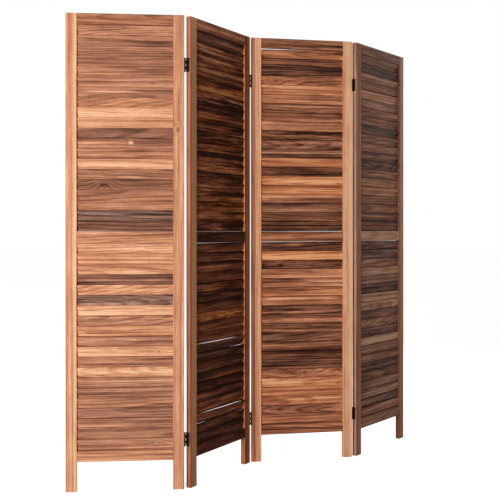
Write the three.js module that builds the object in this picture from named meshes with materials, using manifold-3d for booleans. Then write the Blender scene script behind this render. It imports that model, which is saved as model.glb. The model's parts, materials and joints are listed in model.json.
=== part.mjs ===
// Folding screen of four louvred panels, joined edge to edge by pairs of small butt hinges.
// Millimetres and degrees. +Z is up, +X runs along the screen, +Y points away from its front.
// The origin is on the floor, under the middle of the screen as it stands.
import * as THREE from 'three';
import { mergeVertices } from 'three/addons/utils/BufferGeometryUtils.js';
import Module from 'manifold-3d';

const wasm = await Module();
wasm.setup();

// Panel frame
const panelHeight = 1700;
const panelWidth = 420;
const frameThickness = 20;
const stileWidth = 40;
const topRailHeight = 39;
const midRailHeight = 40;
const bottomRailHeight = 38;
const footHeight = 106;
const frameEdgeEase = 1.5;
const tenonLength = 15;
const tenonThickness = 8;
const tenonShoulder = 7;

// Slats
const slatsPerField = 20;
const slatThickness = 6.5;
const slatLap = 4;
const slatEdgeEase = 1.3;
const closedGap = 0.4;
const joinedOverlap = 0.05;
const railGap = 1;
const slatEndGap = 0.6;
const slatPinRadius = 2.5;
const slatPinLength = 8;

// Hinges
const hingeHeight = 50;
const hingeInset = 150;
const leafDepth = 15;
const leafThickness = 1.4;
const pinOffset = 3;
const pinProud = 3;
const hingePinRadius = 1.3;
const hingePinEnd = 0.8;
const knuckleCount = 5;
const screwHeadRadius = 2.6;
const screwHeadHeight = 0.6;
const screwRadius = 1.3;
const screwLength = 14;
const screwDepthShares = [0.68, 0.36, 0.68];
const screwHeightShares = [0.16, 0.5, 0.84];

// Running and seating clearances
const seatGap = 0.3;
const runGap = 0.3;
const knuckleGap = 0.4;

// How far a cutter or a joined piece runs past the face that it opens or enters
const overrun = 1;

// How the screen stands: the first panel's turn, and each fold away from flat
const firstPanelTurn = 5.4;
const folds = [
  { name: '1_2', angle: 54, barrel: 'back' },
  { name: '2_3', angle: -48, barrel: 'front' },
  { name: '3_4', angle: 42, barrel: 'back' },
];

// The slats that turn by themselves, and how far some of them stand open
const freeSlats = [
  { panel: 2, field: 'lower', from: 1, to: slatsPerField, open: { 11: 20, 18: 16 } },
  { panel: 3, field: 'upper', from: 1, to: 1, open: { 1: 25 } },
];

// Facets round a pin, a hinge barrel and a screw
const pinSides = 6;
const barrelSides = 12;
const screwSides = 6;
const screwHeadSides = 8;

// Rounds of the slat layout's solution, each about ten times closer than the last
const layoutRounds = 12;

const paleWood = { color: 0xd79b72, roughness: 0.6, metalness: 0 };
const railWood = { color: 0xb5794f, roughness: 0.6, metalness: 0 };
const slatWood = { color: 0x9c5f3f, roughness: 0.55, metalness: 0 };
const blackMetal = { color: 0x1d1b1a, roughness: 0.45, metalness: 0.7 };

const fieldHeight = (panelHeight - footHeight - topRailHeight - midRailHeight - bottomRailHeight) / 2;
const openingWidth = panelWidth - 2 * stileWidth;
const bottomRailZ = footHeight;
const lowerFieldZ = bottomRailZ + bottomRailHeight;
const midRailZ = lowerFieldZ + fieldHeight;
const upperFieldZ = midRailZ + midRailHeight;
const topRailZ = upperFieldZ + fieldHeight;
const fieldBase = { lower: lowerFieldZ, upper: upperFieldZ };
const barrelRadius = pinOffset - seatGap;
const notchDepth = barrelRadius + knuckleGap;

// ---------------------------------------------------------------- solids

function toSolid(geometry) {
  const bare = geometry.index ? geometry.toNonIndexed() : geometry.clone();
  bare.deleteAttribute('normal');
  bare.deleteAttribute('uv');
  const merged = mergeVertices(bare, 1e-4);
  return new wasm.Manifold(new wasm.Mesh({
    numProp: 3,
    vertProperties: new Float32Array(merged.attributes.position.array),
    triVerts: new Uint32Array(merged.index.array),
  }));
}

function toGeometry(solid) {
  const mesh = solid.getMesh();
  const geometry = new THREE.BufferGeometry();
  geometry.setAttribute('position', new THREE.BufferAttribute(mesh.vertProperties, 3));
  geometry.setIndex(new THREE.BufferAttribute(mesh.triVerts, 1));
  return geometry;
}

function join(solids) {
  return solids.reduce((whole, next) => whole.add(next));
}

function cut(solid, cutters) {
  return cutters.length ? solid.subtract(join(cutters)) : solid;
}

function block(low, high) {
  const size = high.map((value, axis) => value - low[axis]);
  const geometry = new THREE.BoxGeometry(...size);
  geometry.translate(...low.map((value, axis) => value + size[axis] / 2));
  return toSolid(geometry);
}

// A round bar from one end to the other, along the named axis through the point at.
function round(radius, from, to, axis, at, sides) {
  const geometry = new THREE.CylinderGeometry(radius, radius, to - from, sides);
  geometry.translate(0, (from + to) / 2, 0);
  if (axis === 'x') geometry.rotateZ(-Math.PI / 2);
  if (axis === 'z') geometry.rotateX(Math.PI / 2);
  geometry.translate(...at);
  return toSolid(geometry);
}

// The corner radius at which a hole's flats stand clear of a round bar.
function holeRadius(barRadius, sides) {
  return (barRadius + runGap) / Math.cos(Math.PI / sides);
}

function outline(points) {
  return new THREE.Shape(points.map(([x, y]) => new THREE.Vector2(x, y)));
}

// A rectangle centred on 0 with its corners eased.
function easedRectangle(width, height, ease) {
  const w = width / 2;
  const h = height / 2;
  return outline([
    [ease - w, -h], [w - ease, -h], [w, ease - h], [w, h - ease],
    [w - ease, h], [ease - w, h], [-w, h - ease], [-w, ease - h],
  ]);
}

// A slat's section: of its four edges, the two that show when the slats are closed are eased.
function slatSection() {
  const w = slatThickness / 2;
  const h = slats.width / 2;
  return outline([
    [-w, -h], [w - slatEdgeEase, -h], [w, slatEdgeEase - h],
    [w, h], [slatEdgeEase - w, h], [-w, h - slatEdgeEase],
  ]);
}

// A bar from x = 0 along X; its section's first axis lies along Y and its second along Z.
function barAlongX(section, length) {
  const geometry = new THREE.ExtrudeGeometry(section, { depth: length, bevelEnabled: false });
  const turn = new THREE.Matrix4().makeBasis(
    new THREE.Vector3(0, 1, 0), new THREE.Vector3(0, 0, 1), new THREE.Vector3(1, 0, 0));
  return geometry.applyMatrix4(turn);
}

function piece(name, solid, finish) {
  const mesh = new THREE.Mesh(toGeometry(solid), new THREE.MeshStandardMaterial(finish));
  mesh.name = name;
  return mesh;
}

// ---------------------------------------------------------------- louvre layout

// Pitch, width and closed tilt of the slats that fill one field: closed slats lie on each other
// like shingles, so the tilt follows from the pitch, and the width from the pitch and the lap.
function louvre() {
  let pitch = fieldHeight / slatsPerField;
  let tilt = 0;
  let width = 0;
  for (let round = 0; round < layoutRounds; round += 1) {
    tilt = Math.asin((slatThickness + closedGap) / pitch);
    width = pitch * Math.cos(tilt) + slatLap;
    const span = width * Math.cos(tilt) + slatThickness * Math.sin(tilt);
    pitch = (fieldHeight - 2 * railGap - span) / (slatsPerField - 1);
  }
  const joinedTilt = Math.asin((slatThickness - joinedOverlap) / pitch);
  return { pitch, tilt, width, joinedTilt };
}

const slats = louvre();

// Height of a slat's axis; number 1 is the top one of its field.
function slatAxisZ(field, number) {
  const middle = fieldBase[field] + fieldHeight / 2;
  return middle + ((slatsPerField + 1) / 2 - number) * slats.pitch;
}

// One slat with its axis on the X axis, tilted with its upper edge forward.
function slatSolid(tilt, hasPins) {
  const board = barAlongX(slatSection(), openingWidth - 2 * slatEndGap);
  board.translate(stileWidth + slatEndGap, 0, 0);
  const solids = [toSolid(board)];
  if (hasPins) {
    const inside = slatPinLength + slatEndGap;
    const leftEnd = stileWidth + slatEndGap;
    const rightEnd = panelWidth - stileWidth - slatEndGap;
    [[leftEnd - inside, leftEnd + overrun], [rightEnd - overrun, rightEnd + inside]]
      .forEach(([from, to]) => {
        solids.push(round(slatPinRadius, from, to, 'x', [0, 0, 0], pinSides));
      });
  }
  return join(solids).rotate([THREE.MathUtils.radToDeg(tilt), 0, 0]);
}

function isFree(panel, field, number) {
  return freeSlats.some((run) => run.panel === panel && run.field === field
    && number >= run.from && number <= run.to);
}

function joinedNumbers(panel, field) {
  return Array.from({ length: slatsPerField }, (_, index) => index + 1)
    .filter((number) => !isFree(panel, field, number));
}

// The slats of a field that have pins: every free one, and the outer two of a joined run.
function pinnedNumbers(panel, field) {
  const joined = joinedNumbers(panel, field);
  return Array.from({ length: slatsPerField }, (_, index) => index + 1)
    .filter((number) => isFree(panel, field, number)
      || number === joined[0] || number === joined.at(-1));
}

// ---------------------------------------------------------------- frame

const railSpans = {
  top_rail: [topRailZ, topRailHeight],
  mid_rail: [midRailZ, midRailHeight],
  bottom_rail: [bottomRailZ, bottomRailHeight],
};

function railSolid(height) {
  const length = openingWidth - 2 * seatGap;
  const section = easedRectangle(frameThickness, height, frameEdgeEase);
  const board = toSolid(barAlongX(section, length));
  const tenonHeight = height - 2 * tenonShoulder;
  const tenons = block(
    [-tenonLength, -tenonThickness / 2, -tenonHeight / 2],
    [length + tenonLength, tenonThickness / 2, tenonHeight / 2]);
  return join([board, tenons]).translate([stileWidth + seatGap, frameThickness / 2, 0]);
}

// A stile is made with its inner edge face at x = 0 and the stile towards -x, as the left one
// stands; the right one is the same turned half a turn about the vertical.
function innerHoles(panel) {
  const deep = tenonLength + seatGap;
  const half = tenonThickness / 2 + seatGap;
  const mortises = Object.values(railSpans).map(([base, height]) => block(
    [-deep, -half, base + tenonShoulder - seatGap],
    [overrun, half, base + height - tenonShoulder + seatGap]));
  const radius = holeRadius(slatPinRadius, pinSides);
  const end = -slatPinLength - seatGap;
  const bores = ['lower', 'upper'].flatMap((field) => pinnedNumbers(panel, field).map((number) => (
    round(radius, end, overrun, 'x', [0, 0, slatAxisZ(field, number)], pinSides))));
  return [...mortises, ...bores];
}

// Where a leaf's screws are: depth from the panel face by the barrel, and height up the leaf.
const screwPlaces = screwDepthShares.map((share, index) => (
  [share * leafDepth, screwHeightShares[index] * hingeHeight]));
const hingeBases = { top: panelHeight - hingeInset - hingeHeight, bottom: hingeInset };

function screwHoles(side, barrel) {
  const radius = holeRadius(screwRadius, screwSides);
  const towardsBack = (barrel === 'back' ? 1 : -1) * (side === 'left' ? 1 : -1);
  const end = screwLength + seatGap - stileWidth;
  return Object.values(hingeBases).flatMap((base) => screwPlaces.map(([depth, up]) => (
    round(radius, -stileWidth - overrun, end, 'x',
      [0, towardsBack * (frameThickness / 2 - depth), base + up], screwSides))));
}

function stileSolid(panel, side) {
  const section = easedRectangle(stileWidth, frameThickness, frameEdgeEase);
  const bar = new THREE.ExtrudeGeometry(section, { depth: panelHeight, bevelEnabled: false });
  bar.translate(-stileWidth / 2, 0, 0);
  const fold = folds[side === 'left' ? panel - 2 : panel - 1];
  const holes = [...innerHoles(panel), ...(fold ? screwHoles(side, fold.barrel) : [])];
  const stile = cut(toSolid(bar), holes);
  return side === 'left'
    ? stile.translate([stileWidth, frameThickness / 2, 0])
    : stile.rotate([0, 0, 180]).translate([panelWidth - stileWidth, frameThickness / 2, 0]);
}

// ---------------------------------------------------------------- hinges

// A leaf whose barrel is on the Z axis, with its plate at -x and running towards -y.
// The left leaf has the odd knuckles and carries the pin; the right one has the even knuckles.
function leafSolid(panelSide) {
  const plateLow = seatGap - pinOffset;
  const plateHigh = plateLow + leafThickness;
  const plate = block([plateLow, -pinProud - leafDepth, 0], [plateHigh, 0, hingeHeight]);
  const barrel = round(barrelRadius, 0, hingeHeight, 'z', [0, 0, 0], barrelSides);
  const pitch = (hingeHeight + knuckleGap) / knuckleCount;
  const reach = barrelRadius + overrun;
  const notches = [];
  for (let knuckle = panelSide === 'left' ? 1 : 0; knuckle < knuckleCount; knuckle += 2) {
    const low = Math.max(knuckle * pitch - knuckleGap, -overrun);
    const high = Math.min((knuckle + 1) * pitch, hingeHeight + overrun);
    notches.push(block([-reach, -notchDepth, low], [reach, reach, high]));
  }
  const leaf = cut(join([plate, barrel]), notches);
  const screws = screwPlaces.flatMap(([depth, up]) => {
    const at = [0, -pinProud - depth, up];
    return [
      round(screwHeadRadius, plateHigh - leafThickness / 2, plateHigh + screwHeadHeight, 'x', at,
        screwHeadSides),
      round(screwRadius, plateLow - screwLength, plateHigh, 'x', at, screwSides),
    ];
  });
  if (panelSide === 'left') {
    const pin = round(hingePinRadius, -hingePinEnd, hingeHeight + hingePinEnd, 'z', [0, 0, 0],
      barrelSides);
    return join([leaf, pin, ...screws]);
  }
  const bore = round(holeRadius(hingePinRadius, barrelSides), -overrun, hingeHeight + overrun, 'z',
    [0, 0, 0], barrelSides);
  return join([leaf, ...screws]).subtract(bore);
}

// That leaf turned to its own side of the hinge, still from z = 0 upwards.
function placedLeaf(panelSide, barrel) {
  const leaf = leafSolid(panelSide);
  if (barrel === 'back') {
    return panelSide === 'left' ? leaf : leaf.rotate([0, 180, 0]).translate([0, 0, hingeHeight]);
  }
  return panelSide === 'left'
    ? leaf.rotate([180, 0, 0]).translate([0, 0, hingeHeight])
    : leaf.rotate([0, 0, 180]);
}

function addLeaves(group, fold, panelSide, x, y) {
  Object.entries(hingeBases).forEach(([place, base]) => {
    const kind = panelSide === 'left' ? 'pin_leaf' : 'plain_leaf';
    const name = `hinge_${fold.name}_${place}_${kind}`;
    const mesh = piece(name, placedLeaf(panelSide, fold.barrel), blackMetal);
    mesh.position.set(x, y, base);
    group.add(mesh);
  });
}

// ---------------------------------------------------------------- panels

function addSlats(group, panel, field) {
  const joined = joinedNumbers(panel, field);
  if (joined.length) {
    const bank = join(joined.map((number) => (
      slatSolid(slats.joinedTilt, number === joined[0] || number === joined.at(-1))
        .translate([0, frameThickness / 2, slatAxisZ(field, number)]))));
    group.add(piece(`panel_${panel}_${field}_slats`, bank, slatWood));
  }
  freeSlats.filter((run) => run.panel === panel && run.field === field).forEach((run) => {
    for (let number = run.from; number <= run.to; number += 1) {
      const open = THREE.MathUtils.degToRad(run.open[number] ?? 0);
      const name = `panel_${panel}_${field}_slat_${String(number).padStart(2, '0')}`;
      const mesh = piece(name, slatSolid(0, true), slatWood);
      mesh.position.set(0, frameThickness / 2, slatAxisZ(field, number));
      mesh.rotation.x = slats.tilt + open;
      group.add(mesh);
    }
  });
}

function panelGroup(panel) {
  const group = new THREE.Group();
  ['left', 'right'].forEach((side) => {
    group.add(piece(`panel_${panel}_${side}_stile`, stileSolid(panel, side), paleWood));
  });
  Object.entries(railSpans).forEach(([name, [base, height]]) => {
    const mesh = piece(`panel_${panel}_${name}`, railSolid(height), railWood);
    mesh.position.z = base + height / 2;
    group.add(mesh);
  });
  addSlats(group, panel, 'upper');
  addSlats(group, panel, 'lower');
  return group;
}

// Each panel hangs on the one before it: the fold's group stands on the hinge axis.
const screen = new THREE.Group();
let standing = panelGroup(1);
standing.rotation.z = THREE.MathUtils.degToRad(firstPanelTurn);
screen.add(standing);
folds.forEach((fold, index) => {
  const axisX = panelWidth + pinOffset;
  const axisY = fold.barrel === 'back' ? frameThickness + pinProud : -pinProud;
  addLeaves(standing, fold, 'left', axisX, axisY);
  const turning = new THREE.Group();
  turning.position.set(axisX, axisY, 0);
  turning.rotation.z = THREE.MathUtils.degToRad(fold.angle);
  addLeaves(turning, fold, 'right', 0, 0);
  const next = panelGroup(index + 2);
  next.position.set(pinOffset, -axisY, 0);
  turning.add(next);
  standing.add(turning);
  standing = next;
});

const middle = new THREE.Box3().setFromObject(screen).getCenter(new THREE.Vector3());
screen.position.set(-middle.x, -middle.y, 0);
const divider = new THREE.Group();
divider.add(screen);

export default divider;
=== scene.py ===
"""Finishes and fine shapes of a folding screen of louvred wooden panels.

Metres. +X runs along the screen, +Y points away from its front and +Z is up.
"""
import json
import math
import random
from itertools import product

import bmesh
import bpy
import numpy as np
from mathutils import Matrix, Vector


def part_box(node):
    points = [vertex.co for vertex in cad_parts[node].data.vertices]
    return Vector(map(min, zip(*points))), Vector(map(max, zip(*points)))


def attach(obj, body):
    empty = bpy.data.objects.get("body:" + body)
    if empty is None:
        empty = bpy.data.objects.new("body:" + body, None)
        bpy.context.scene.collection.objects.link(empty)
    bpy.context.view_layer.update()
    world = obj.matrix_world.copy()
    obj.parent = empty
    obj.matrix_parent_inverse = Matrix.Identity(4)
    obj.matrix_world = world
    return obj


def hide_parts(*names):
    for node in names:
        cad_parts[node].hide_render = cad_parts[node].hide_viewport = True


bl_info = {
    "name": "Louvred Folding Screen",
    "version": (1, 0, 0),
    "blender": (4, 5, 0),
    "location": "3D View > Sidebar > Screen",
    "description": "Builds a folding screen of louvred wooden panels round its fixed frame",
    "category": "Add Mesh",
}

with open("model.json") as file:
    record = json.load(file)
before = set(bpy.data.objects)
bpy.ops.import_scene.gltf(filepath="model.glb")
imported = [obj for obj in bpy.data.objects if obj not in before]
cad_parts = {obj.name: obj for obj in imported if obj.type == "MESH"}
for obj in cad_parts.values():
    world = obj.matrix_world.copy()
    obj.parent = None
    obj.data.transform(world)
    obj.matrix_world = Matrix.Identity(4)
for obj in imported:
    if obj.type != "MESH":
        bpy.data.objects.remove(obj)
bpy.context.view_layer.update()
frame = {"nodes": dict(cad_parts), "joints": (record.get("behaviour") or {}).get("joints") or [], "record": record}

MM = 0.001
PANELS = (1, 2, 3, 4)
SIDES = ("left", "right")
RAILS = ("top", "mid", "bottom")
FIELDS = ("upper", "lower")
# Numbers of a field's slats, from the top one down
SLATS = range(1, 21)
FOLDS = (("1_2", "back"), ("2_3", "front"), ("3_4", "back"))


def srgb(red, green, blue):
    """A colour given 0 to 255 a channel, as the linear values that materials take."""
    def linear(value):
        share = value / 255
        return share / 12.92 if share <= 0.04045 else ((share + 0.055) / 1.055) ** 2.4
    return linear(red), linear(green), linear(blue)


# ----- settings

def number_setting(name, description, default, smallest=0.0, **choices):
    return bpy.props.FloatProperty(
        name=name, description=description, default=default, min=smallest, **choices)


def length_setting(name, description, default):
    return number_setting(name, description, default, subtype="DISTANCE", unit="LENGTH",
                          precision=5)


def colour_setting(name, description, default):
    return bpy.props.FloatVectorProperty(
        name=name, description=description, default=default, size=3, min=0.0, max=1.0,
        subtype="COLOR")


class ScreenSizes(bpy.types.PropertyGroup):
    """Sizes that the frame doesn't settle."""

    frame_edge: length_setting("Frame edge", "Radius of the edges of stiles and rails", 1.8 * MM)
    slat_thickness: length_setting("Slat thickness", "Thickness of a slat", 6.5 * MM)
    slat_lap: length_setting("Slat lap", "How far a closed slat covers the next", 4 * MM)
    slat_gap: length_setting("Slat gap", "Gap between two closed slats", 0.4 * MM)
    slat_edge: length_setting("Slat edge", "Radius of a slat's rounded edges", 1.5 * MM)
    slat_end_gap: length_setting("Slat end gap", "Gap between a slat and a stile", 0.2 * MM)
    rail_cover: length_setting(
        "Rail cover", "How far a rail closes the gap between it and a slat", 0.4 * MM)
    slat_cover: length_setting(
        "Slat cover", "How far a field's first and last slat close the gap to the rail",
        0.6 * MM)
    slat_pin: length_setting("Slat pin", "Radius of the stub pin that a slat turns on", 2.5 * MM)
    leaf_thickness: length_setting("Leaf thickness", "Thickness of a hinge leaf", 1.4 * MM)
    barrel_radius: length_setting("Barrel radius", "Radius of a hinge's knuckles", 2.7 * MM)
    hinge_pin: length_setting("Hinge pin", "Radius of a hinge's pin", 1.3 * MM)
    knuckle_gap: length_setting("Knuckle gap", "Gap between two knuckles", 0.4 * MM)
    screw_head: length_setting("Screw head", "Radius of a screw's head", 2.6 * MM)
    screw_length: length_setting("Screw length", "Length of a screw", 14 * MM)


class ScreenColours(bpy.types.PropertyGroup):
    """Colours of the wood and the hinges."""

    darkest: colour_setting("Darkest wood", "Colour of knots and dark lines", srgb(52, 28, 17))
    dark: colour_setting("Dark wood", "Colour of a dark board", srgb(110, 69, 50))
    brown: colour_setting("Brown wood", "Colour of a scorched board", srgb(152, 98, 72))
    middle: colour_setting("Middle wood", "Colour of a common board", srgb(192, 130, 98))
    light: colour_setting("Light wood", "Colour of a light board", srgb(228, 163, 124))
    palest: colour_setting("Palest wood", "Colour of sapwood", srgb(253, 204, 163))
    hinge: colour_setting("Hinge black", "Colour of the hinges' paint", srgb(22, 17, 15))


class ScreenStage(bpy.types.PropertyGroup):
    """Camera and light."""

    camera_place: bpy.props.FloatVectorProperty(
        name="Camera place", description="Where the camera stands",
        default=(-0.0162, -3.6444, 0.9358), size=3, subtype="TRANSLATION", unit="LENGTH")
    camera_lens: number_setting(
        "Camera lens", "Focal length on a 36 mm sensor, in millimetres", 65.34, 1.0)
    camera_shift: number_setting(
        "Camera shift", "Vertical shift as a share of the sensor's width", -0.0434, -1.0)
    key_level: number_setting(
        "Key level", "Light on the nearest panel; 1 shows a colour as written", 1.05)
    back_level: number_setting("Back level", "Light on the backs of the panels", 0.6)
    sky_level: number_setting("Sky level", "Light that comes from all round", 0.06)


def settings():
    return bpy.context.scene.louvred_screen


# ----- where things stand

def node_centre(node):
    low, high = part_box(node)
    return (low + high) / 2


def node_span(node):
    low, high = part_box(node)
    return low.z, high.z


def joint_named(name):
    return next(joint for joint in frame["joints"] if joint["name"] == name)


def body_of_node(node):
    bodies = frame["record"]["behaviour"]["bodies"]
    return next(body for body, nodes in bodies.items() if node in nodes)


def stile_section():
    """A stile's width and depth, from its box and the way its panel faces."""
    low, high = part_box("panel_1_left_stile")
    along = panel_direction(1)
    across_x, across_y = high.x - low.x, high.y - low.y
    spread = along.x ** 2 - along.y ** 2
    return ((across_x * along.x - across_y * along.y) / spread,
            (across_y * along.x - across_x * along.y) / spread)


def stile_centres(panel):
    return [node_centre(f"panel_{panel}_{side}_stile") for side in SIDES]


def panel_direction(panel):
    left, right = stile_centres(panel)
    return (right - left).normalized()


def panel_matrix(panel):
    """From a panel's own frame: X along it from its left edge, Y back from its face, Z up."""
    along = panel_direction(panel)
    back = Vector((-along.y, along.x, 0))
    width, depth = stile_section()
    corner = stile_centres(panel)[0] - along * width / 2 - back * depth / 2
    matrix = Matrix((along, back, (0, 0, 1))).transposed().to_4x4()
    matrix.translation = (corner.x, corner.y, 0)
    return matrix


def panel_width(panel):
    left, right = stile_centres(panel)
    return (right - left).length + stile_section()[0]


def slat_heights(panel, field):
    """Heights of a field's slat axes, from the top one down."""
    lower = [joint_named(f"p2_slat_{number:02d}_turn")["pos_m"][2] for number in SLATS]
    base = {"lower": f"panel_{panel}_bottom_rail", "upper": f"panel_{panel}_mid_rail"}[field]
    lift = node_span(base)[1] - node_span("panel_2_bottom_rail")[1]
    return [height + lift for height in lower]


def slat_layout():
    """Tilt and width of a closed slat."""
    sizes = settings().sizes
    heights = slat_heights(2, "lower")
    pitch = heights[0] - heights[1]
    tilt = math.asin((sizes.slat_thickness + sizes.slat_gap) / pitch)
    return tilt, pitch * math.cos(tilt) + sizes.slat_lap


# ----- boards

# Steps round an edge and round an end
ARC_STEPS = 4
END_STEPS = 3
# Length over which a streak fades out at its ends, and half the height over which painted
# light and shade make a board lighter toward its lower edge
STREAK_TAPER = 50 * MM
FADE_REACH = 20 * MM
# The distance that stands for no knot or no streak
NONE_NEAR = 50.0
# Start and stop of a streak that runs the whole board, in millimetres
WHOLE_BOARD = (-1000, 3000)


class Shape:
    """Points, outward directions, faces and wood values of one mesh, gathered board by board."""

    def __init__(self):
        self.points, self.normals, self.faces = [], [], []
        self.values = {name: [] for name in ("grain", "knot", "board", "wear", "streak", "shade")}
        self.count = 0

    def add(self, points, normals, faces, values, matrix):
        """Adds a solid, put in place by the matrix."""
        place = np.array(matrix)
        self.points.append(points @ place[:3, :3].T + place[:3, 3])
        self.normals.append(normals @ place[:3, :3].T)
        self.faces.extend(tuple(self.count + index for index in face) for face in faces)
        for name, store in self.values.items():
            store.append(values[name])
        self.count += len(points)

    def mesh(self, name):
        mesh = bpy.data.meshes.new(name)
        mesh.from_pydata(np.concatenate(self.points).tolist(), [], self.faces)
        mesh.shade_smooth()
        mesh.normals_split_custom_set_from_vertices(np.concatenate(self.normals).tolist())
        for value, store in self.values.items():
            attribute = mesh.attributes.new(value, "FLOAT_VECTOR", "POINT")
            attribute.data.foreach_set("vector", np.concatenate(store).astype(np.float32).ravel())
        mesh.validate()
        return mesh


def outline(depth, width, radius):
    """A rectangle with round corners: each point, its outward direction and how near the middle of its rounded
    corner it is.
    """
    corners = ((1, 1), (-1, 1), (-1, -1), (1, -1))
    points, normals, wear = [], [], []
    for quarter, (side_y, side_z) in enumerate(corners):
        for step in range(ARC_STEPS + 1):
            angle = math.pi / 2 * (quarter + step / ARC_STEPS)
            normal = (math.cos(angle), math.sin(angle))
            points.append((side_y * (depth / 2 - radius) + radius * normal[0],
                           side_z * (width / 2 - radius) + radius * normal[1]))
            normals.append(normal)
            wear.append(math.sin(math.pi * step / ARC_STEPS))
    return np.array(points), np.array(normals), np.array(wear)


def ring_faces(rings, around):
    """The faces of a solid made of rings of points, with both ends closed."""
    faces = [(ring * around + index, ring * around + (index + 1) % around,
              (ring + 1) * around + (index + 1) % around, (ring + 1) * around + index)
             for ring in range(rings - 1) for index in range(around)]
    last = (rings - 1) * around
    return [*faces, tuple(reversed(range(around))), tuple(range(last, last + around))]


def board_solid(length, depth, width, radius, stations):
    """A board along X from 0, with round edges and eased ends.

    Returns its points, outward directions, faces, and how near each point is to the middle of a rounded edge and
    how much it faces an end.
    """
    ease = 0.6 * radius
    ends = [(ease * (1 - math.cos(turn)), ease * (1 - math.sin(turn)), turn)
            for turn in np.linspace(0, math.pi / 2, END_STEPS + 1)]
    middle = np.linspace(ease, length - ease, stations)[1:-1]
    rows = [(x, inset, -math.cos(turn), math.sin(turn)) for x, inset, turn in ends]
    rows += [(x, 0.0, 0.0, 1.0) for x in middle]
    rows += [(length - x, inset, math.cos(turn), math.sin(turn)) for x, inset, turn in ends[::-1]]
    points, normals, wear = [], [], []
    for x, inset, along, outward in rows:
        ring, directions, edge = outline(depth - 2 * inset, width - 2 * inset, radius - inset)
        points.append(np.column_stack((np.full(len(ring), x), ring)))
        normals.append(np.column_stack((np.full(len(ring), along), directions * outward)))
        wear.append(np.column_stack((edge, np.full(len(ring), abs(along)))))
    faces = ring_faces(len(rows), len(points[0]))
    return np.concatenate(points), np.concatenate(normals), faces, np.concatenate(wear)


def turned(rows, turn):
    """Points or directions, each turned about X by its own angle."""
    cos, sin = np.cos(turn), np.sin(turn)
    return np.column_stack((rows[:, 0], rows[:, 1] * cos - rows[:, 2] * sin,
                            rows[:, 1] * sin + rows[:, 2] * cos))


class Board:
    """The looks of one board, settled by a seeded chance where they aren't given.

    tone runs from 0 dark to 1 pale; greyness, warmth and figure run from 0 to 1. warmth is painted
    shade: a redder colour for the panels that get less light. slant is how far the tree's middle
    runs out of line with the board. contrast is how strongly the bands show, fade is painted light
    and shade that makes it lighter toward its lower edge and its left end, crease is painted shade
    where the next board covers it, and edge is painted light and shade on its rounded edges, lighter
    where it is above 0. A knot is its place along the board, height, radius and how much lighter it
    is; a streak is its height, half its width, how much lighter it is, its slope, start and stop, all
    in millimetres.
    """

    def __init__(self, seed, tone, greyness, warmth, figure, slant, contrast=1.0,
                 fade=(0.0, 0.0), crease=1.0, edge=0.0, knot=None, streak=None):
        self.chance = random.Random(seed)
        self.tone, self.greyness, self.warmth, self.figure = tone, greyness, warmth, figure
        self.contrast, self.fade, self.crease, self.edge = contrast, fade, crease, edge
        self.knot, self.streak = knot, streak
        self.offsets = (self.chance.uniform(0, 4), self.chance.uniform(-0.05, 0.05),
                        self.chance.choice((-1, 1)) * self.chance.uniform(0.015, 0.07))
        self.slopes = (self.chance.uniform(-slant, slant), self.chance.uniform(-2, 2) * slant)

    def values(self, points, wear, crease=1.0):
        """The values that the wood's finish reads, for points in the board's own frame."""
        along, deep, across = points[:, 0], points[:, 1], points[:, 2]
        count = len(points)
        grain = np.column_stack((along + self.offsets[0],
                                 across + self.offsets[1] + self.slopes[0] * along,
                                 deep + self.offsets[2] + self.slopes[1] * along))
        knots = np.full((count, 3), (NONE_NEAR, NONE_NEAR, 0.0))
        if self.knot:
            place, height, size = (MM * number for number in self.knot[:3])
            knots = np.column_stack(((along - place) / (1.8 * size), (across - height) / size,
                                     np.full(count, self.knot[3])))
        streaks, lighter = np.full(count, NONE_NEAR), 0.0
        if self.streak:
            lighter, slope = self.streak[2:4]
            height, half, start, stop = (MM * self.streak[index] for index in (0, 1, 4, 5))
            inside = np.minimum(along - start, stop - along)
            lighter = lighter * np.clip(inside / STREAK_TAPER, 0, 1)
            streaks = (across - height - slope * along) / half
        board = np.full((count, 3), (self.tone, self.greyness, self.figure))
        share = along / max(along.max(), MM)
        # Painted light and shade: the tone falls toward the top edge and the right end, and rises toward the lower
        # edge and the left end.
        board[:, 0] -= self.fade[0] * across / FADE_REACH + self.fade[1] * (2 * share - 1)
        return {
            "shade": np.full((count, 3), (self.crease, self.contrast, self.edge)),
            "grain": grain, "knot": knots, "board": board,
            "wear": np.column_stack((wear, np.full(count, self.warmth))),
            "streak": np.column_stack((streaks, np.full(count, lighter), np.full(count, crease)))}


def add_piece(name, mesh, node, material):
    """Puts a mesh in the scene as the piece that stands for a node."""
    old = bpy.data.objects.get(name)
    if old:
        bpy.data.objects.remove(old)
    piece = bpy.data.objects.new(name, mesh)
    bpy.context.scene.collection.objects.link(piece)
    mesh.materials.append(material)
    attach(piece, body_of_node(node))
    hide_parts(node)


# ----- materials

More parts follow.
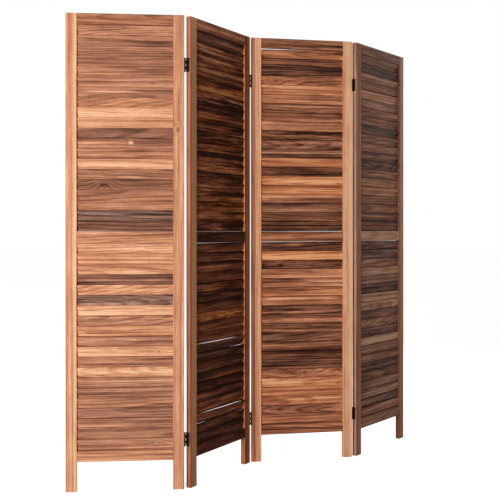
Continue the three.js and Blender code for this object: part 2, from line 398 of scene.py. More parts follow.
class Graph:
    """The nodes of one material or world, added and wired in one call each."""

    def __init__(self, owner):
        owner.use_nodes = True
        self.owner = owner
        self.tree = owner.node_tree
        self.shader = self.tree.nodes.get("Principled BSDF")

    def add(self, kind, inputs, **choices):
        node = self.tree.nodes.new(kind)
        node.location = (-220 * (len(self.tree.nodes) % 12), -260 * (len(self.tree.nodes) // 12))
        for name, choice in choices.items():
            setattr(node, name, choice)
        for socket, value in inputs.items():
            self.feed(node.inputs[socket], value)
        return node

    def feed(self, socket, value):
        if isinstance(value, bpy.types.NodeSocket):
            self.tree.links.new(value, socket)
        else:
            socket.default_value = value

    def attribute(self, name):
        return self.add("ShaderNodeAttribute", {}, attribute_name=name).outputs["Vector"]

    def parts(self, vector):
        return self.add("ShaderNodeSeparateXYZ", {"Vector": vector}).outputs

    def maths(self, operation, first, second=0.0, third=0.0):
        inputs = {0: first, 1: second, 2: third}
        return self.add("ShaderNodeMath", inputs, operation=operation).outputs[0]

    def stretched(self, vector, scale):
        return self.add("ShaderNodeVectorMath", {0: vector, 1: scale},
                        operation="MULTIPLY").outputs[0]

    def length(self, vector):
        return self.add("ShaderNodeVectorMath", {0: vector}, operation="LENGTH").outputs["Value"]

    def noise(self, vector, scale, detail=2.0, roughness=0.5, distortion=0.0):
        inputs = {"Vector": self.stretched(vector, scale), "Scale": 1.0, "Detail": detail,
                  "Roughness": roughness, "Distortion": distortion}
        return self.add("ShaderNodeTexNoise", inputs).outputs["Fac"]

    def spread(self, value, low, high, to_low=0.0, to_high=1.0):
        inputs = {"Value": value, "From Min": low, "From Max": high, "To Min": to_low,
                  "To Max": to_high}
        return self.add("ShaderNodeMapRange", inputs, interpolation_type="SMOOTHSTEP").outputs[0]

    def ramp(self, value, stops):
        node = self.add("ShaderNodeValToRGB", {"Fac": value})
        elements = node.color_ramp.elements
        while len(elements) < len(stops):
            elements.new(0.5)
        for element, (place, colour) in zip(elements, stops):
            element.position = place
            element.color = (*colour, 1)
        return node.outputs["Color"]

    def mixed(self, share, first, second, blend="MIX"):
        """Two colours mixed; sockets 6, 7 and 2 are the node's own for colours."""
        inputs = {0: share, 6: first, 7: second}
        return self.add("ShaderNodeMix", inputs, data_type="RGBA", blend_type=blend).outputs[2]

    def bump(self, height, distance, strength):
        inputs = {"Height": height, "Distance": distance, "Strength": strength}
        self.feed(self.shader.inputs["Normal"], self.add("ShaderNodeBump", inputs).outputs[0])


# For each kind of piece: width of its bands, their length, and how strongly they show, then
# distance between its rings and how strongly they show
WOODS = {
    "slat": (7 * MM, 1.1, 0.19, 7 * MM, 0.24),
    "rail": (7 * MM, 0.9, 0.14, 8 * MM, 0.2),
    "stile": (8 * MM, 1.3, 0.15, 8 * MM, 0.12),
}


def wood(kind):
    """Bare scorched wood whose rings, bands, fibres, pores and knots follow the board."""
    name = f"{kind.capitalize()} wood"
    if name in bpy.data.materials:
        return bpy.data.materials[name]
    band, streak_length, depth, ring_spacing, ring_depth = WOODS[kind]
    colours = settings().colours
    graph = Graph(bpy.data.materials.new(name))
    maths, noise, spread = graph.maths, graph.noise, graph.spread
    grain = graph.attribute("grain")
    tone, greyness, figure = graph.parts(graph.attribute("board"))
    # This attribute holds how near a point is to the middle of a rounded edge, which the painted edge light and
    # shade uses, how much it faces an end, and the painted warmth.
    edge, end, warmth = graph.parts(graph.attribute("wear"))
    knot_spot = graph.attribute("knot")
    knot = graph.length(graph.stretched(knot_spot, (1, 1, 0)))
    knot_tone = graph.parts(knot_spot)[2]
    streak, streak_tone, crease = graph.parts(graph.attribute("streak"))
    # The shade attribute holds the strength of the painted shade in a slat's crease, the bands' contrast, and the
    # painted light and shade on the rounded edges.
    crease_shade_strength, contrast, rubbing_and_edge_shading = graph.parts(graph.attribute("shade"))

    across = 1 / band
    broad = noise(grain, (0.55 / streak_length, 0.4 * across, 0.4 * across), 1.0)
    bands = noise(grain, (1 / streak_length, across, across), 2.0, 0.5, 0.1)
    lines = noise(grain, (2 / streak_length, 3 * across, 3 * across), 2.0, 0.5)
    blotches = noise(grain, (7, 45, 45), 2.0)
    flecks = noise(grain, (30, 330, 330), 2.0, 0.6)
    threads = noise(grain, (16, 700, 700), 2.0, 0.6)
    fibres = noise(grain, (60, 2400, 2400), 1.0)
    pores = spread(noise(grain, (75, 1500, 1500), 0.0), 0.66, 0.74)

    heart = graph.length(graph.stretched(grain, (0, 1, 1)))
    wander = noise(grain, (3.2, 22, 22), 2.0)
    swirl = maths("EXPONENT", maths("MULTIPLY", maths("POWER", knot, 2), -0.28))
    ring = maths("MULTIPLY_ADD", wander, 1.5 * ring_spacing, heart)
    ring = maths("MULTIPLY_ADD", swirl, 2.2 * ring_spacing, ring)
    ring = maths("FRACT", maths("DIVIDE", ring, ring_spacing))
    late = maths("MULTIPLY", spread(ring, 0.45, 0.94), spread(ring, 1.0, 0.95))
    late = maths("MULTIPLY", late, figure)
    knot_heart = spread(knot, 1.2, 0.4)
    wavy = maths("MULTIPLY_ADD", maths("SUBTRACT", blotches, 0.5), 1.4, streak)
    streak_mask = spread(maths("ABSOLUTE", wavy), 1.2, 0.7)
    # Painted shade in the crease: darker in a band 1.5 to 6.6 mm from a slat's covered edge and fainter out to 12
    # mm, on the flat faces of slats only.
    lap = maths("MULTIPLY", spread(crease, 6.6 * MM, 4.6 * MM),
                spread(crease, 1.5 * MM, 3.2 * MM))
    lap = maths("MULTIPLY_ADD", spread(crease, 12 * MM, 4 * MM), 0.2, lap)
    lap = maths("MULTIPLY", spread(crease, 90 * MM, 60 * MM), lap)
    lap = maths("MULTIPLY", lap, crease_shade_strength)

    figuring = 0.0
    for grade, share in ((bands, 0.9), (broad, 1.15), (lines, 0.65), (blotches, 0.85),
                         (flecks, 0.5)):
        figuring = maths("MULTIPLY_ADD", spread(grade, 0.28, 0.72, -0.5, 0.5), share, figuring)
    value = maths("MULTIPLY_ADD", figuring, maths("MULTIPLY", contrast, depth), tone)
    # In this sum the lap term is painted shade in the crease, the edge term is painted light and shade on the
    # rounded edges, and the end term darkens end grain.
    for amount, share in (
            (late, -ring_depth), (streak_mask, streak_tone),
            (maths("SUBTRACT", threads, 0.5), 0.3), (maths("SUBTRACT", fibres, 0.5), 0.16),
            (pores, -0.12), (knot_heart, knot_tone), (lap, -0.4), (end, -0.2), (edge, rubbing_and_edge_shading)):
        value = maths("MULTIPLY_ADD", amount, share, value)
    colour = graph.ramp(value, (
        (0.0, colours.darkest), (0.2, colours.dark), (0.4, colours.brown),
        (0.6, colours.middle), (0.8, colours.light), (1.0, colours.palest)))
    # Painted shade: warmth multiplies the colour toward this warm light colour, the colour that shade takes on the
    # less lit panels.
    redder = graph.mixed(warmth, colour, (1.0, 0.72, 0.48, 1), "MULTIPLY")
    grey = graph.add("ShaderNodeHueSaturation", {
        "Color": redder, "Saturation": maths("MULTIPLY_ADD", greyness, -0.45, 1.0),
        "Value": maths("MULTIPLY_ADD", greyness, -0.08, 1.0)})
    graph.feed(graph.shader.inputs["Base Color"], grey.outputs["Color"])

    dull = spread(threads, 0.3, 0.7, 0.56, 0.7)
    graph.feed(graph.shader.inputs["Roughness"], maths("MULTIPLY_ADD", pores, 0.12, dull))
    graph.shader.inputs["Specular IOR Level"].default_value = 0.04
    relief = maths("MULTIPLY_ADD", pores, -0.6, threads)
    relief = maths("MULTIPLY_ADD", late, 0.5, relief)
    graph.bump(relief, 0.25 * MM, 0.35)
    return graph.owner


def hinge_paint():
    """Black satin paint, thin and a little lighter where it is worn."""
    if "Hinge paint" in bpy.data.materials:
        return bpy.data.materials["Hinge paint"]
    colour = settings().colours.hinge
    graph = Graph(bpy.data.materials.new("Hinge paint"))
    place = graph.add("ShaderNodeTexCoord", {}).outputs["Object"]
    mottle = graph.noise(place, (900, 900, 900), 3.0)
    rubbing_and_edge_shading = graph.spread(graph.noise(place, (260, 260, 260), 4.0, 0.6), 0.6, 0.75)
    lighter = tuple(min(1.0, 2.6 * channel) for channel in colour)
    graph.feed(graph.shader.inputs["Base Color"],
               graph.mixed(rubbing_and_edge_shading, (*colour, 1), (*lighter, 1)))
    graph.feed(graph.shader.inputs["Roughness"], graph.spread(mottle, 0.3, 0.7, 0.3, 0.45))
    graph.shader.inputs["Specular IOR Level"].default_value = 0.25
    graph.bump(mottle, 0.05 * MM, 0.4)
    return graph.owner


# ----- frame pieces

# How light and how grey each stile and rail is: left and right stile, then the rails
FRAME_PLACES = SIDES + RAILS
FRAME_LOOKS = {
    1: ((0.8, 0), (0.76, 0), (0.6, 0), (0.8, 0), (0.76, 0)),
    # Panel 2's left stile is pale partly for its own colour and partly as painted light, for the grazing light on
    # its front.
    2: ((1.03, 0), (0.66, 0), (0.62, 0.1), (0.1, 0.1), (0.24, 0.1)),
    3: ((0.89, 0), (0.94, 0), (0.52, 0.1), (0.41, 0), (0.59, 0)),
    4: ((0.62, 0.1), (0.72, 0.1), (0.5, 0.3), (0.8, 0.15), (0.54, 0.3)),
}
# Streaks in stiles and rails: distance from the board's middle and half the width, in
# millimetres, how much lighter, and slope
FRAME_STREAKS = {
    1: {"left": (-14.5, 5, 0.16, 0), "top": (2, 5, -0.14, -0.01), "mid": (4, 5, -0.25, 0.02),
        "bottom": (-4, 4, -0.12, 0.01)},
    2: {"left": (21, 6, -0.48, 0), "right": (13, 5, -0.2, 0), "top": (-3, 5, 0.28, 0.01)},
    3: {"left": (11, 9, -0.34, 0.003), "right": (-15, 4, 0.12, 0), "top": (-8, 6, -0.25, 0.01),
        "mid": (-2, 8, 0.2, 0.02), "bottom": (5, 6, -0.28, -0.02)},
    # Panel 4's right-stile streak is painted shadow on the stile's inner side, beside the slat ends.
    4: {"right": (22, 4, -0.4, 0), "top": (4, 6, -0.12, 0.01)},
}
# Knots in stiles and rails: place along the board, distance from its middle and radius, in
# millimetres, and how much lighter
FRAME_KNOTS = {(1, "right"): (1290, 2, 6, -0.25)}
# How much warmer than the colours' settings each panel's stiles and its rails are: painted shade, a redder colour
# for the panels that get less light
WARMTH = {1: (0, 0), 2: (0.5, 0.8), 3: (0.2, 0.3), 4: (0.05, 0)}


def frame_board(panel, place, slant):
    """The looks of one stile or rail."""
    tone, greyness = FRAME_LOOKS[panel][FRAME_PLACES.index(place)]
    streak = FRAME_STREAKS[panel].get(place)
    rail = place in RAILS
    # Stiles and rails get darker rounded edges: painted shade.
    return Board(f"frame {panel} {place}", tone, greyness, WARMTH[panel][rail], 0.9, slant,
                 edge=-0.3 if rail else -0.2, knot=FRAME_KNOTS.get((panel, place)),
                 streak=streak and streak + WHOLE_BOARD)


def add_frame_piece(kind, panel, place, length, width, matrix, slant, stations):
    """One stile or rail: a board with round edges, put in its panel by the matrix."""
    depth = stile_section()[1]
    points, normals, faces, wear = board_solid(
        length, depth, width, settings().sizes.frame_edge, stations)
    shape = Shape()
    shape.add(points, normals, faces, frame_board(panel, place, slant).values(points, wear),
              panel_matrix(panel) @ matrix)
    name = f"{kind}_{panel}_{place}"
    add_piece(name, shape.mesh(name), f"panel_{panel}_{place}_{kind}",
              wood(kind))


def build_stile(panel, side):
    width, depth = stile_section()
    low, high = node_span(f"panel_{panel}_{side}_stile")
    middle = width / 2 if side == "left" else panel_width(panel) - width / 2
    upright = Matrix(((0, 0, -1, middle), (0, 1, 0, depth / 2), (1, 0, 0, low), (0, 0, 0, 1)))
    add_frame_piece("stile", panel, side, high - low, width, upright,
                    slant=0.004, stations=24)


def build_rail(panel, place):
    width, depth = stile_section()
    low, high = node_span(f"panel_{panel}_{place}_rail")
    cover = settings().sizes.rail_cover
    low -= cover if place in ("top", "mid") else 0
    high += cover if place in ("mid", "bottom") else 0
    seat = 0.15 * MM
    length = panel_width(panel) - 2 * width - 2 * seat
    level = Matrix.Translation((width + seat, depth / 2, (low + high) / 2))
    add_frame_piece("rail", panel, place, length, high - low, level,
                    slant=0.03, stations=8)


# ----- slats

# The boards that stand out in each field, numbered from the top. The rest are common ones.
STANDOUTS = {
    (1, "upper"): {"pale": (9, 14), "light": (8, 10), "brown": (11, 16), "dark": (20,),
        "grey": (19,)},
    (1, "lower"): {"pale": (7, 11, 13), "light": (1, 2, 3, 5, 9), "brown": (17, 19),
        "dark": (4,), "grey": (6,)},
    (2, "upper"): {"light": (6, 18), "brown": (2, 3, 4, 5, 7, 10, 11, 12),
        "dark": (1, 8, 13, 15, 20)},
    (2, "lower"): {"light": (8,), "brown": (4, 5, 7, 11),
        "dark": (2, 6, 12, 13, 14, 15, 16, 19, 20)},
    (3, "upper"): {"light": (1, 5, 13, 15, 16), "brown": (11,),
        "dark": (2, 3, 7, 10, 12, 14, 18, 19, 20)},
    (3, "lower"): {"pale": (2,), "light": (16, 17, 18), "brown": (10, 12),
        "dark": (1, 3, 8, 11, 13, 14)},
    (4, "upper"): {"pale": (5,), "light": (16,), "brown": (1, 8, 10, 12, 20), "dark": (9, 19),
        "black": (2, 13)},
    (4, "lower"): {"pale": (12,), "light": (4, 7, 8, 20), "brown": (3, 9, 16),
        "dark": (1, 2, 6, 11, 15, 19)},
}
# Tone, greyness and figure of each kind of board, and how far the tone may vary
BOARD_KINDS = {
    "pale": (0.86, 0, 0.7, 0.04),
    "light": (0.73, 0, 0.8, 0.05),
    "common": (0.57, 0.1, 0.9, 0.05),
    "brown": (0.43, 0.15, 0.8, 0.06),
    "dark": (0.31, 0.2, 0.8, 0.05),
    "black": (0.19, 0.2, 0.8, 0.03),
    "grey": (0.33, 0.6, 0.8, 0.04),
}
# For the boards of each field: how much lighter, greyer and warmer, then their contrast, fade,
# crease and edge. The lighter and warmer values are partly painted shade, darkest and warmest on
# panel 2, which stands out of the light; the fade, crease and edge are painted light and shade.
FIELD_LOOKS = {
    (1, "upper"): (0.02, 0, 0, 0.75, (0.05, 0), 0.15, -0.1),
    (1, "lower"): (0.09, 0, 0, 1.0, (0.02, 0), 0.4, -0.12),
    (2, "upper"): (-0.08, 0, 1.0, 2.8, (0.24, 0.12), 0.1, 0),
    (2, "lower"): (-0.1, 0, 1.0, 1.8, (0.14, 0.07), 1.0, -0.1),
    (3, "upper"): (0, 0, 0.5, 1.35, (0.06, 0), 0.5, -0.08),
    (3, "lower"): (0.01, 0, 0.55, 1.4, (0.1, 0), 0.6, -0.08),
    (4, "upper"): (0.04, 0, 0.05, 1.25, (0.06, 0), 3.0, -0.45),
    (4, "lower"): (0.09, 0.2, 0, 1.3, (0.04, 0), 2.8, -0.5),
}
# Boards with a knot: place along the slat, height on its face, and radius, in millimetres, and
# how much lighter the knot is
KNOTS = {
    (1, "upper"): {6: (265, 2, 3, -0.3), 12: (190, 5, 6, 0.5), 16: (95, 0, 11, -0.15)},
    (1, "lower"): {11: (290, 0, 3, -0.4), 20: (280, 4, 5, 0.15)},
    (3, "upper"): {4: (60, 0, 5, -0.3)},
    (3, "lower"): {3: (80, 0, 8, -0.3), 15: (180, 3, 5, -0.3)},
    (4, "lower"): {12: (190, 0, 6, -0.2)},
}
# Streaks along a slat: distance from its middle and half the width, in millimetres, how much
# lighter, slope, and where it starts and stops, in millimetres
STREAKS = {
    (1, "upper"): {2: (6, 5, -0.2, -0.03, 0, 340), 5: (-2, 2, -0.3, 0.03, 0, 340),
        7: (6, 4, 0.3, -0.005, 10, 230), 12: (5, 6, 0.3, 0.005, -30, 210),
        15: (-8, 4, 0.3, 0, 130, 260), 20: (12, 2, 0.4, 0, 235, 300)},
    (1, "lower"): {4: (0, 5, 0.2, 0, -30, 340)},
    # Panel 2's light streaks are partly the boards' figure and partly painted highlights where lit slat edges show
    # in the panel's shade.
    (2, "upper"): {3: (2, 3, 0.35, 0, -30, 280), 6: (-2, 7, 0.25, 0, -30, 240),
        9: (-3, 4, 0.4, 0.01, -30, 380), 12: (-6, 5, 0.25, 0, 60, 220),
        14: (-5, 4, 0.35, 0, -30, 380), 16: (-9, 4, 0.3, 0, -30, 280),
        18: (-4, 5, 0.3, 0.01, -30, 380)},
    (2, "lower"): {1: (-12, 3, 0.35, 0, 60, 380), 3: (6, 4, 0.3, 0, -30, 250),
        8: (-8, 5, 0.35, 0.05, 40, 380)},
    (3, "upper"): {7: (8, 4, 0.25, 0.01, 0, 380), 15: (2, 4, 0.3, 0, 100, 380)},
    (3, "lower"): {5: (0, 3, 0.35, 0.02, 150, 380), 7: (12, 5, 0.4, 0, 0, 340),
        18: (5, 4, 0.3, 0.01, 60, 380)},
    (4, "upper"): {3: (9, 4, 0.3, 0, 0, 380), 12: (0, 4, 0.25, 0.02, 0, 380)},
    (4, "lower"): {12: (4, 9, 0.3, 0, -30, 380), 18: (6, 4, 0.35, 0, 0, 380)},
}
# Boards sawn so that their rings run out in long pointed arches
ARCHED = ((1, "upper", 1), (1, "lower", 1), (1, "lower", 13), (2, "upper", 6), (3, "upper", 4),
          (3, "lower", 15), (4, "upper", 12), (4, "lower", 20))
# How a few slats stand: more opening at the left end, middle and right end, in degrees; lift
# of the same places and more width below, in millimetres
BENT_SLATS = {
    (1, "upper", 20): ((0, 0, 0), (0.3, -0.4, -0.6), 0),
    (2, "lower", 1): ((0, 0, 0), (-0.1, 0.4, 0.6), 0),
    (2, "lower", 11): ((-1, 2, -1), (0.4, -0.3, 2.2), 2.4),
    (2, "lower", 18): ((-1, 1, -1), (1.4, -0.2, 0.9), 1.9),
    (3, "upper", 1): ((9, 4, 0), (-1.3, 0, 0.4), 0),
    (3, "upper", 20): ((0, 0, 0), (-0.4, 0, 0.5), 0),
    (3, "lower", 1): ((0, 0, 0), (-0.5, -0.1, 0.6), 0),
    (4, "lower", 1): ((0, 0, 0), (0.6, 0.4, -0.5), 0),
}


def turning_node(panel, field, number):
    """The node of a slat that turns by itself, or None where it is one of a bank."""
    node = f"panel_{panel}_{field}_slat_{number:02d}"
    return node if node in frame["nodes"] else None


def open_angle(panel, number):
    """How far a turning slat stands open at rest: its joint's way back to closed."""
    return -math.radians(joint_named(f"p{panel}_slat_{number:02d}_turn")["range_deg"][0])


def pin_points(from_x, to_x, radius):
    """A round pin along X, with flat ends."""
    sides = 16
    angles = [2 * math.pi * index / sides for index in range(sides)]
    ring = np.array([(math.cos(angle), math.sin(angle)) for angle in angles])
    rows = [np.column_stack((np.full(sides, x), ring * radius)) for x in (from_x, to_x)]
    facing = np.column_stack((np.zeros(sides), ring))
    return np.concatenate(rows), np.concatenate((facing, facing)), ring_faces(2, sides)


def through(three, share):
    """A smooth curve through values at the left end, the middle and the right end."""
    left, middle, right = three
    return (left * (1 - share) * (1 - 2 * share) + middle * 4 * share * (1 - share)
            + right * share * (2 * share - 1))


def slat_board(panel, field, number):
    """The looks of one slat."""
    spot = (panel, field, number)
    chance = random.Random(f"slat {panel} {field} {number}")
    kind = next((kind for kind, numbers in STANDOUTS[panel, field].items()
                 if number in numbers), "common")
    tone, greyness, figure, vary = BOARD_KINDS[kind]
    lighter, greyer, warmth, contrast, fade, crease, edge = FIELD_LOOKS[panel, field]
    tone += lighter + chance.uniform(-vary, vary)
    greyness = min(1.0, (greyness + greyer) * chance.uniform(0.7, 1.3))
    slant = 0.07 if spot in ARCHED else chance.choice((0.01, 0.02, 0.045))
    streak, knot = (table.get((panel, field), {}).get(number) for table in (STREAKS, KNOTS))
    if not streak and chance.random() < 0.5:
        streak = (chance.uniform(-12, 14), chance.uniform(2, 6),
                  chance.choice((-0.22, -0.15, 0.15, 0.22)), chance.uniform(-0.02, 0.02),
                  chance.choice((-30, 60, 150)), chance.choice((190, 280, 380)))
    warmth = min(1.0, max(0.0, warmth + chance.uniform(-0.12, 0.12)))
    # The painted light and shade of the fade varies a little from board to board.
    fade = (fade[0] + chance.uniform(-0.04, 0.04), fade[1] + chance.uniform(-0.05, 0.05))
    return Board(chance.random(), tone, greyness, warmth, figure, slant, contrast, fade,
                 crease * chance.uniform(0.5, 1.4), edge, knot, streak)


def lap_distance(points, width, depth):
    """How far each point of a slat's face is from the edge that the next slat covers."""
    across, deep = points[:, 2], points[:, 1]
    flat = np.abs(deep) > depth / 2 - 1e-6
    covered = np.where(deep < 0, across + width / 2, width / 2 - across)
    return np.where(flat, covered, 1.0)


def add_slat(shape, panel, field, number, opening):
    """One slat, from stile to stile, tilted with its upper edge forward."""
    sizes = settings().sizes
    spot = (panel, field, number)
    board = slat_board(*spot)
    turns, lifts, wider = BENT_SLATS.get(spot, ((0, 0, 0), (0, 0, 0), 0))
    stile_width, depth = stile_section()
    tilt, width = slat_layout()
    length = panel_width(panel) - 2 * stile_width - 2 * sizes.slat_end_gap
    full = width + wider * MM
    points, normals, faces, wear = board_solid(
        length, sizes.slat_thickness, full, sizes.slat_edge, 14)
    values = board.values(points, wear, lap_distance(points, full, sizes.slat_thickness))
    points[:, 2] -= wider * MM / 2
    ajar = math.radians(board.chance.choice((0, 0, 0.3, 0.6, 1.2)))
    closer = (number == SLATS[0]) - (number == SLATS[-1])
    snug = sizes.slat_cover * closer * (spot not in BENT_SLATS)
    share = points[:, 0] / length
    turn = tilt + opening + ajar + np.radians(through(turns, share))
    points, normals = turned(points, turn), turned(normals, turn)
    points[:, 2] += snug + MM * through(lifts, share)
    height = slat_heights(panel, field)[number - 1]
    corner = (stile_width + sizes.slat_end_gap, depth / 2, height)
    matrix = panel_matrix(panel) @ Matrix.Translation(corner)
    shape.add(points, normals, faces, values, matrix)
    reach, sunk = 6 * MM, 1 * MM
    for from_x, to_x in ((-reach, sunk), (length - sunk, length + reach)):
        points, normals, faces = pin_points(from_x, to_x, sizes.slat_pin)
        values = board.values(points, np.zeros((len(points), 2)))
        shape.add(points, normals, faces, values, matrix)


def build_bank(panel, field):
    """The slats of one field that have no node of their own, as one piece."""
    node = f"panel_{panel}_{field}_slats"
    if node not in frame["nodes"]:
        return
    shape = Shape()
    for number in SLATS:
        if not turning_node(panel, field, number):
            add_slat(shape, panel, field, number, 0.0)
    name = f"slats_{panel}_{field}"
    add_piece(name, shape.mesh(name), node, wood("slat"))


def build_turning_slats(panel, field):
    for number in SLATS:
        node = turning_node(panel, field, number)
        if node:
            shape = Shape()
            add_slat(shape, panel, field, number, open_angle(panel, number))
            name = f"slat_{panel}_{field}_{number:02d}"
            add_piece(name, shape.mesh(name), node, wood("slat"))


# ----- hinges

# Where a leaf's three screws are, as shares of the leaf's depth and height
SCREW_PLACES = ((0.68, 0.16), (0.36, 0.5), (0.68, 0.84))
LEAF_DEPTH = 15 * MM
PIN_OFFSET = 3 * MM
SEAT_GAP = 0.3 * MM
KNUCKLES = 5


def ease_rims(bm, points, offset, segments):
    """Rounds the level edges between the given points."""
    chosen = set(points)
    rims = [edge for edge in bm.edges if set(edge.verts) <= chosen
            and abs(edge.verts[0].co.z - edge.verts[1].co.z) < 1e-9]
    bmesh.ops.bevel(bm, geom=rims, offset=offset, segments=segments, affect="EDGES", profile=0.5)


def prism(bm, profile, low, high, ease):
    """A solid between two heights on a flat outline, with its rims eased."""
    base = [bm.verts.new((x, y, low)) for x, y in profile]
    made = bmesh.ops.extrude_face_region(bm, geom=[bm.faces.new(base)])
    top = [item for item in made["geom"] if isinstance(item, bmesh.types.BMVert)]
    bmesh.ops.translate(bm, verts=top, vec=(0, 0, high - low))
    ease_rims(bm, base + top, ease, 2)


def arc(centre, radius, start, stop, steps):
    """Points along an arc, with angles in degrees."""
    return [(centre[0] + radius * math.cos(math.radians(angle)),
             centre[1] + radius * math.sin(math.radians(angle)))
            for angle in np.linspace(start, stop, steps)]


def leaf_plate(height, sizes):
    """The flat of a leaf, with its two outer corners rounded, which the rest is added to."""
    near = -(sizes.barrel_radius + sizes.knuckle_gap)
    far = -(PIN_OFFSET + LEAF_DEPTH)
    corner = 2.5 * MM
    profile = [(near, 0), *arc((far + corner, corner), corner, 270, 180, 6),
               *arc((far + corner, height - corner), corner, 180, 90, 6), (near, height)]
    bm = bmesh.new()
    prism(bm, profile[::-1], 0, sizes.leaf_thickness, 0.2 * MM)
    back = SEAT_GAP - PIN_OFFSET
    upright = Matrix(((0, 0, 1, back), (1, 0, 0, 0), (0, 1, 0, 0), (0, 0, 0, 1)))
    bmesh.ops.transform(bm, matrix=upright, verts=bm.verts)
    return bm


def add_knuckles(bm, height, first, sizes):
    """The rolled knuckles of one leaf, each with the strip that joins it to the flat."""
    radius = sizes.barrel_radius
    outer = SEAT_GAP - PIN_OFFSET
    inner = outer + sizes.leaf_thickness
    low_y = -(radius + sizes.knuckle_gap + 0.2 * MM)
    meet = math.degrees(math.atan2(-math.sqrt(radius ** 2 - inner ** 2), inner))
    profile = [(outer, low_y), (inner, low_y), *arc((0, 0), radius, meet, 180, 22)]
    pitch = (height + sizes.knuckle_gap) / KNUCKLES
    for knuckle in range(first, KNUCKLES, 2):
        low = knuckle * pitch
        prism(bm, profile, low, low + pitch - sizes.knuckle_gap, 0.18 * MM)


def add_pin(bm, height, sizes):
    """The hinge pin, with a low round head at each end."""
    proud = 0.8 * MM
    made = bmesh.ops.create_cone(
        bm, cap_ends=True, segments=24, radius1=sizes.hinge_pin, radius2=sizes.hinge_pin,
        depth=height + 2 * proud, matrix=Matrix.Translation((0, 0, height / 2)))
    ease_rims(bm, made["verts"], 0.45 * MM, 3)


def add_screw(bm, place_y, place_z, turn, sizes):
    """A wood screw with a low domed head and a cross in it, pointing to -x."""
    sides = 32
    face = SEAT_GAP - PIN_OFFSET + sizes.leaf_thickness
    arm, arm_end = 0.34 * MM, 1.5 * MM
    rise = 0.6 * MM
    head = sizes.screw_head
    tip = face - sizes.screw_length

    def cross_radius(angle):
        off = abs((angle - turn + math.pi / 4) % (math.pi / 2) - math.pi / 4)
        return min(arm_end, arm / max(math.sin(off), 0.05))

    # Place along the screw, plain radius, and share of the cross's radius that is added
    rows = ((tip, 0.25 * MM, 0), (tip + 3 * MM, 1.1 * MM, 0), (face - 2 * MM, 1.3 * MM, 0),
            (face - 0.2 * MM, head, 0), (face + 0.22 * rise, head, 0),
            (face + 0.62 * rise, 0.93 * head, 0), (face + 0.9 * rise, 0.75 * head, 0),
            (face + rise, 0.12 * MM, 1), (face + rise - 0.1 * MM, 0, 1),
            (face + rise - 0.65 * MM, 0, 0.8))
    points = []
    for x, plain, share in rows:
        for index in range(sides):
            angle = 2 * math.pi * index / sides
            radius = plain + share * cross_radius(angle)
            points.append(bm.verts.new((x, place_y + radius * math.cos(angle),
                                        place_z + radius * math.sin(angle))))
    for face in ring_faces(len(rows), sides):
        bm.faces.new([points[index] for index in face])


def leaf_turn(side, barrel, height):
    """How a leaf made for the left side of a back barrel is turned to its own place."""
    if (side, barrel) == ("left", "back"):
        return Matrix.Identity(4)
    if (side, barrel) == ("right", "front"):
        return Matrix.Rotation(math.pi, 4, "Z")
    over = Matrix.Rotation(math.pi, 4, "X" if side == "left" else "Y")
    return Matrix.Translation((0, 0, height)) @ over


def build_leaf(fold, barrel, place, side):
    """One hinge leaf with its screws; the left leaf also holds the pin."""
    sizes = settings().sizes
    kind = "pin_leaf" if side == "left" else "plain_leaf"
    node = f"hinge_{fold}_{place}_{kind}"
    low, high = node_span(f"hinge_{fold}_{place}_plain_leaf")
    height = high - low
    chance = random.Random(node)
    bm = leaf_plate(height, sizes)
    add_knuckles(bm, height, 0 if side == "left" else 1, sizes)
    if side == "left":
        add_pin(bm, height, sizes)
    for depth_share, height_share in SCREW_PLACES:
        add_screw(bm, -(PIN_OFFSET + depth_share * LEAF_DEPTH), height_share * height,
                  chance.uniform(0, math.pi / 2), sizes)
    panel = int(fold[0] if side == "left" else fold[-1])
    axis = joint_named(f"fold_{fold}")["pos_m"]
    facing = panel_matrix(panel).to_3x3().to_4x4()
    matrix = Matrix.Translation((axis[0], axis[1], low)) @ facing @ leaf_turn(side, barrel, height)
    bmesh.ops.transform(bm, matrix=matrix, verts=bm.verts)
    bmesh.ops.recalc_face_normals(bm, faces=bm.faces)
    name = f"hinge_{fold}_{place}_{side}_leaf"
    mesh = bpy.data.meshes.new(name)
    bm.to_mesh(mesh)
    bm.free()
    mesh.shade_smooth()
    mesh.set_sharp_from_angle(angle=math.radians(35))
    add_piece(name, mesh, node, hinge_paint())


# ----- stage

def show(graph, real, seen, output):
    """The real shader for the light, and the seen one for the camera and in reflections."""
    rays = graph.add("ShaderNodeLightPath", {}).outputs
    looked_at = graph.maths("MAXIMUM", rays["Is Camera Ray"], rays["Is Glossy Ray"])
    looked_at = graph.maths("MAXIMUM", looked_at, rays["Is Transmission Ray"])
    mix = graph.add("ShaderNodeMixShader", {0: looked_at, 1: real.outputs[0], 2: seen.outputs[0]})
    graph.feed(graph.tree.nodes[output].inputs["Surface"], mix.outputs[0])


def build_world():
    world = bpy.data.worlds.new("Studio")
    bpy.context.scene.world = world
    graph = Graph(world)
    plain = graph.tree.nodes["Background"]
    graph.feed(plain.inputs["Color"], (1.0, 0.93, 0.86, 1))
    graph.feed(plain.inputs["Strength"], settings().stage.sky_level)
    white = graph.add("ShaderNodeBackground", {"Color": (1, 1, 1, 1), "Strength": 1.0})
    show(graph, plain, white, "World Output")


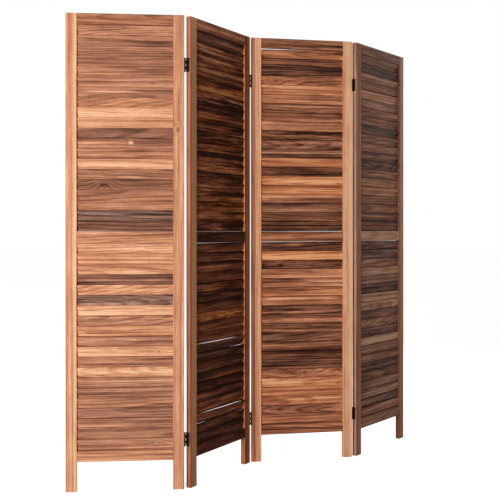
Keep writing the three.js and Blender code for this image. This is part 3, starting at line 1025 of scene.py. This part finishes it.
def build_floor():
    mesh = bpy.data.meshes.new("floor")
    reach = 30.0
    corners = ((-reach, -reach, 0), (reach, -reach, 0), (reach, reach, 0), (-reach, reach, 0))
    mesh.from_pydata(corners, [], [(0, 1, 2, 3)])
    floor = bpy.data.objects.new("floor", mesh)
    bpy.context.scene.collection.objects.link(floor)
    graph = Graph(bpy.data.materials.new("Pale floor"))
    graph.tree.nodes.remove(graph.shader)
    pale = graph.add("ShaderNodeBsdfDiffuse", {"Color": (0.9, 0.9, 0.9, 1)})
    glow = graph.add("ShaderNodeEmission", {"Strength": 0.94})
    seen = graph.add("ShaderNodeAddShader", {0: pale.outputs[0], 1: glow.outputs[0]})
    bounced = graph.add("ShaderNodeBsdfDiffuse", {"Color": (0.3, 0.28, 0.26, 1)})
    show(graph, bounced, seen, "Material Output")
    mesh.materials.append(graph.owner)


def add_lamp(name, place, target, size, level, colour):
    """A square lamp that lights what it points at to the given level."""
    data = bpy.data.lights.new(name, "AREA")
    data.shape = "SQUARE"
    data.size = size
    data.color = colour
    away = Vector(place) - Vector(target)
    data.energy = level * math.pi ** 2 * away.length_squared
    lamp = bpy.data.objects.new(name, data)
    lamp.location = place
    lamp.rotation_mode = "QUATERNION"
    lamp.rotation_quaternion = away.to_track_quat("Z", "Y")
    bpy.context.scene.collection.objects.link(lamp)


def build_camera():
    stage = settings().stage
    data = bpy.data.cameras.new("camera")
    data.sensor_width = 36.0
    data.lens = stage.camera_lens
    data.shift_y = stage.camera_shift
    camera = bpy.data.objects.new("camera", data)
    camera.location = stage.camera_place
    camera.rotation_euler = (math.pi / 2, 0, 0)
    bpy.context.scene.collection.objects.link(camera)
    bpy.context.scene.camera = camera


# ----- operators

class ScreenSettings(bpy.types.PropertyGroup):
    """All settings of the screen."""

    sizes: bpy.props.PointerProperty(
        type=ScreenSizes, name="Sizes", description="Sizes that the frame doesn't settle")
    colours: bpy.props.PointerProperty(
        type=ScreenColours, name="Colours", description="Colours of the wood and the hinges")
    stage: bpy.props.PointerProperty(
        type=ScreenStage, name="Stage", description="Camera and light")


class SCREEN_OT_stage(bpy.types.Operator):
    """Make the camera, the lamps, the sky and the floor"""

    bl_idname = "screen.stage"
    bl_label = "Stage"

    def execute(self, context):
        stage = settings().stage
        context.scene.view_settings.view_transform = "Standard"
        build_camera()
        build_world()
        build_floor()
        add_lamp("key", (-2.2, -4.9, 1.15), node_centre("panel_1_mid_rail"), 2.0,
                 stage.key_level, (1.0, 0.98, 0.95))
        add_lamp("back", (2.4, 2.3, 1.7), node_centre("panel_3_mid_rail"), 1.4,
                 stage.back_level, (1.0, 0.98, 0.97))
        return {"FINISHED"}


class SCREEN_OT_stiles(bpy.types.Operator):
    """Make the stiles, two to a panel"""

    bl_idname = "screen.stiles"
    bl_label = "Stiles"

    def execute(self, context):
        for panel, side in product(PANELS, SIDES):
            build_stile(panel, side)
        return {"FINISHED"}


class SCREEN_OT_rails(bpy.types.Operator):
    """Make the rails, three to a panel"""

    bl_idname = "screen.rails"
    bl_label = "Rails"

    def execute(self, context):
        for panel, place in product(PANELS, RAILS):
            build_rail(panel, place)
        return {"FINISHED"}


class SCREEN_OT_slat_banks(bpy.types.Operator):
    """Make the closed slats of each field as one piece"""

    bl_idname = "screen.slat_banks"
    bl_label = "Slat banks"

    def execute(self, context):
        for panel, field in product(PANELS, FIELDS):
            build_bank(panel, field)
        return {"FINISHED"}


class SCREEN_OT_turning_slats(bpy.types.Operator):
    """Make the slats that turn by themselves, a piece each"""

    bl_idname = "screen.turning_slats"
    bl_label = "Turning slats"

    def execute(self, context):
        for panel, field in product(PANELS, FIELDS):
            build_turning_slats(panel, field)
        return {"FINISHED"}


class SCREEN_OT_hinges(bpy.types.Operator):
    """Make the hinge leaves with their pins and screws"""

    bl_idname = "screen.hinges"
    bl_label = "Hinges"

    def execute(self, context):
        for (fold, barrel), place, side in product(FOLDS, ("top", "bottom"), SIDES):
            build_leaf(fold, barrel, place, side)
        return {"FINISHED"}


OPERATORS = (SCREEN_OT_stage, SCREEN_OT_stiles, SCREEN_OT_rails, SCREEN_OT_slat_banks,
             SCREEN_OT_turning_slats, SCREEN_OT_hinges)


class SCREEN_PT_panel(bpy.types.Panel):
    """Lists the steps that build the screen, with their settings."""

    bl_idname = "SCREEN_PT_louvred_screen"
    bl_label = "Louvred screen"
    bl_space_type = "VIEW_3D"
    bl_region_type = "UI"
    bl_category = "Screen"

    def draw(self, context):
        layout = self.layout
        for operator in OPERATORS:
            layout.operator(operator.bl_idname)
        chosen = context.scene.louvred_screen
        for group in (chosen.sizes, chosen.colours, chosen.stage):
            box = layout.box()
            for name in group.__annotations__:
                box.prop(group, name)


CLASSES = (ScreenSizes, ScreenColours, ScreenStage, ScreenSettings, *OPERATORS, SCREEN_PT_panel)


def register():
    for item in CLASSES:
        bpy.utils.register_class(item)
    bpy.types.Scene.louvred_screen = bpy.props.PointerProperty(type=ScreenSettings)


def unregister():
    del bpy.types.Scene.louvred_screen
    for item in reversed(CLASSES):
        bpy.utils.unregister_class(item)


def main():
    register()
    bpy.ops.screen.stage()
    bpy.ops.screen.stiles()
    bpy.ops.screen.rails()
    bpy.ops.screen.slat_banks()
    bpy.ops.screen.turning_slats()
    bpy.ops.screen.hinges()


if __name__ == "__main__":
    main()
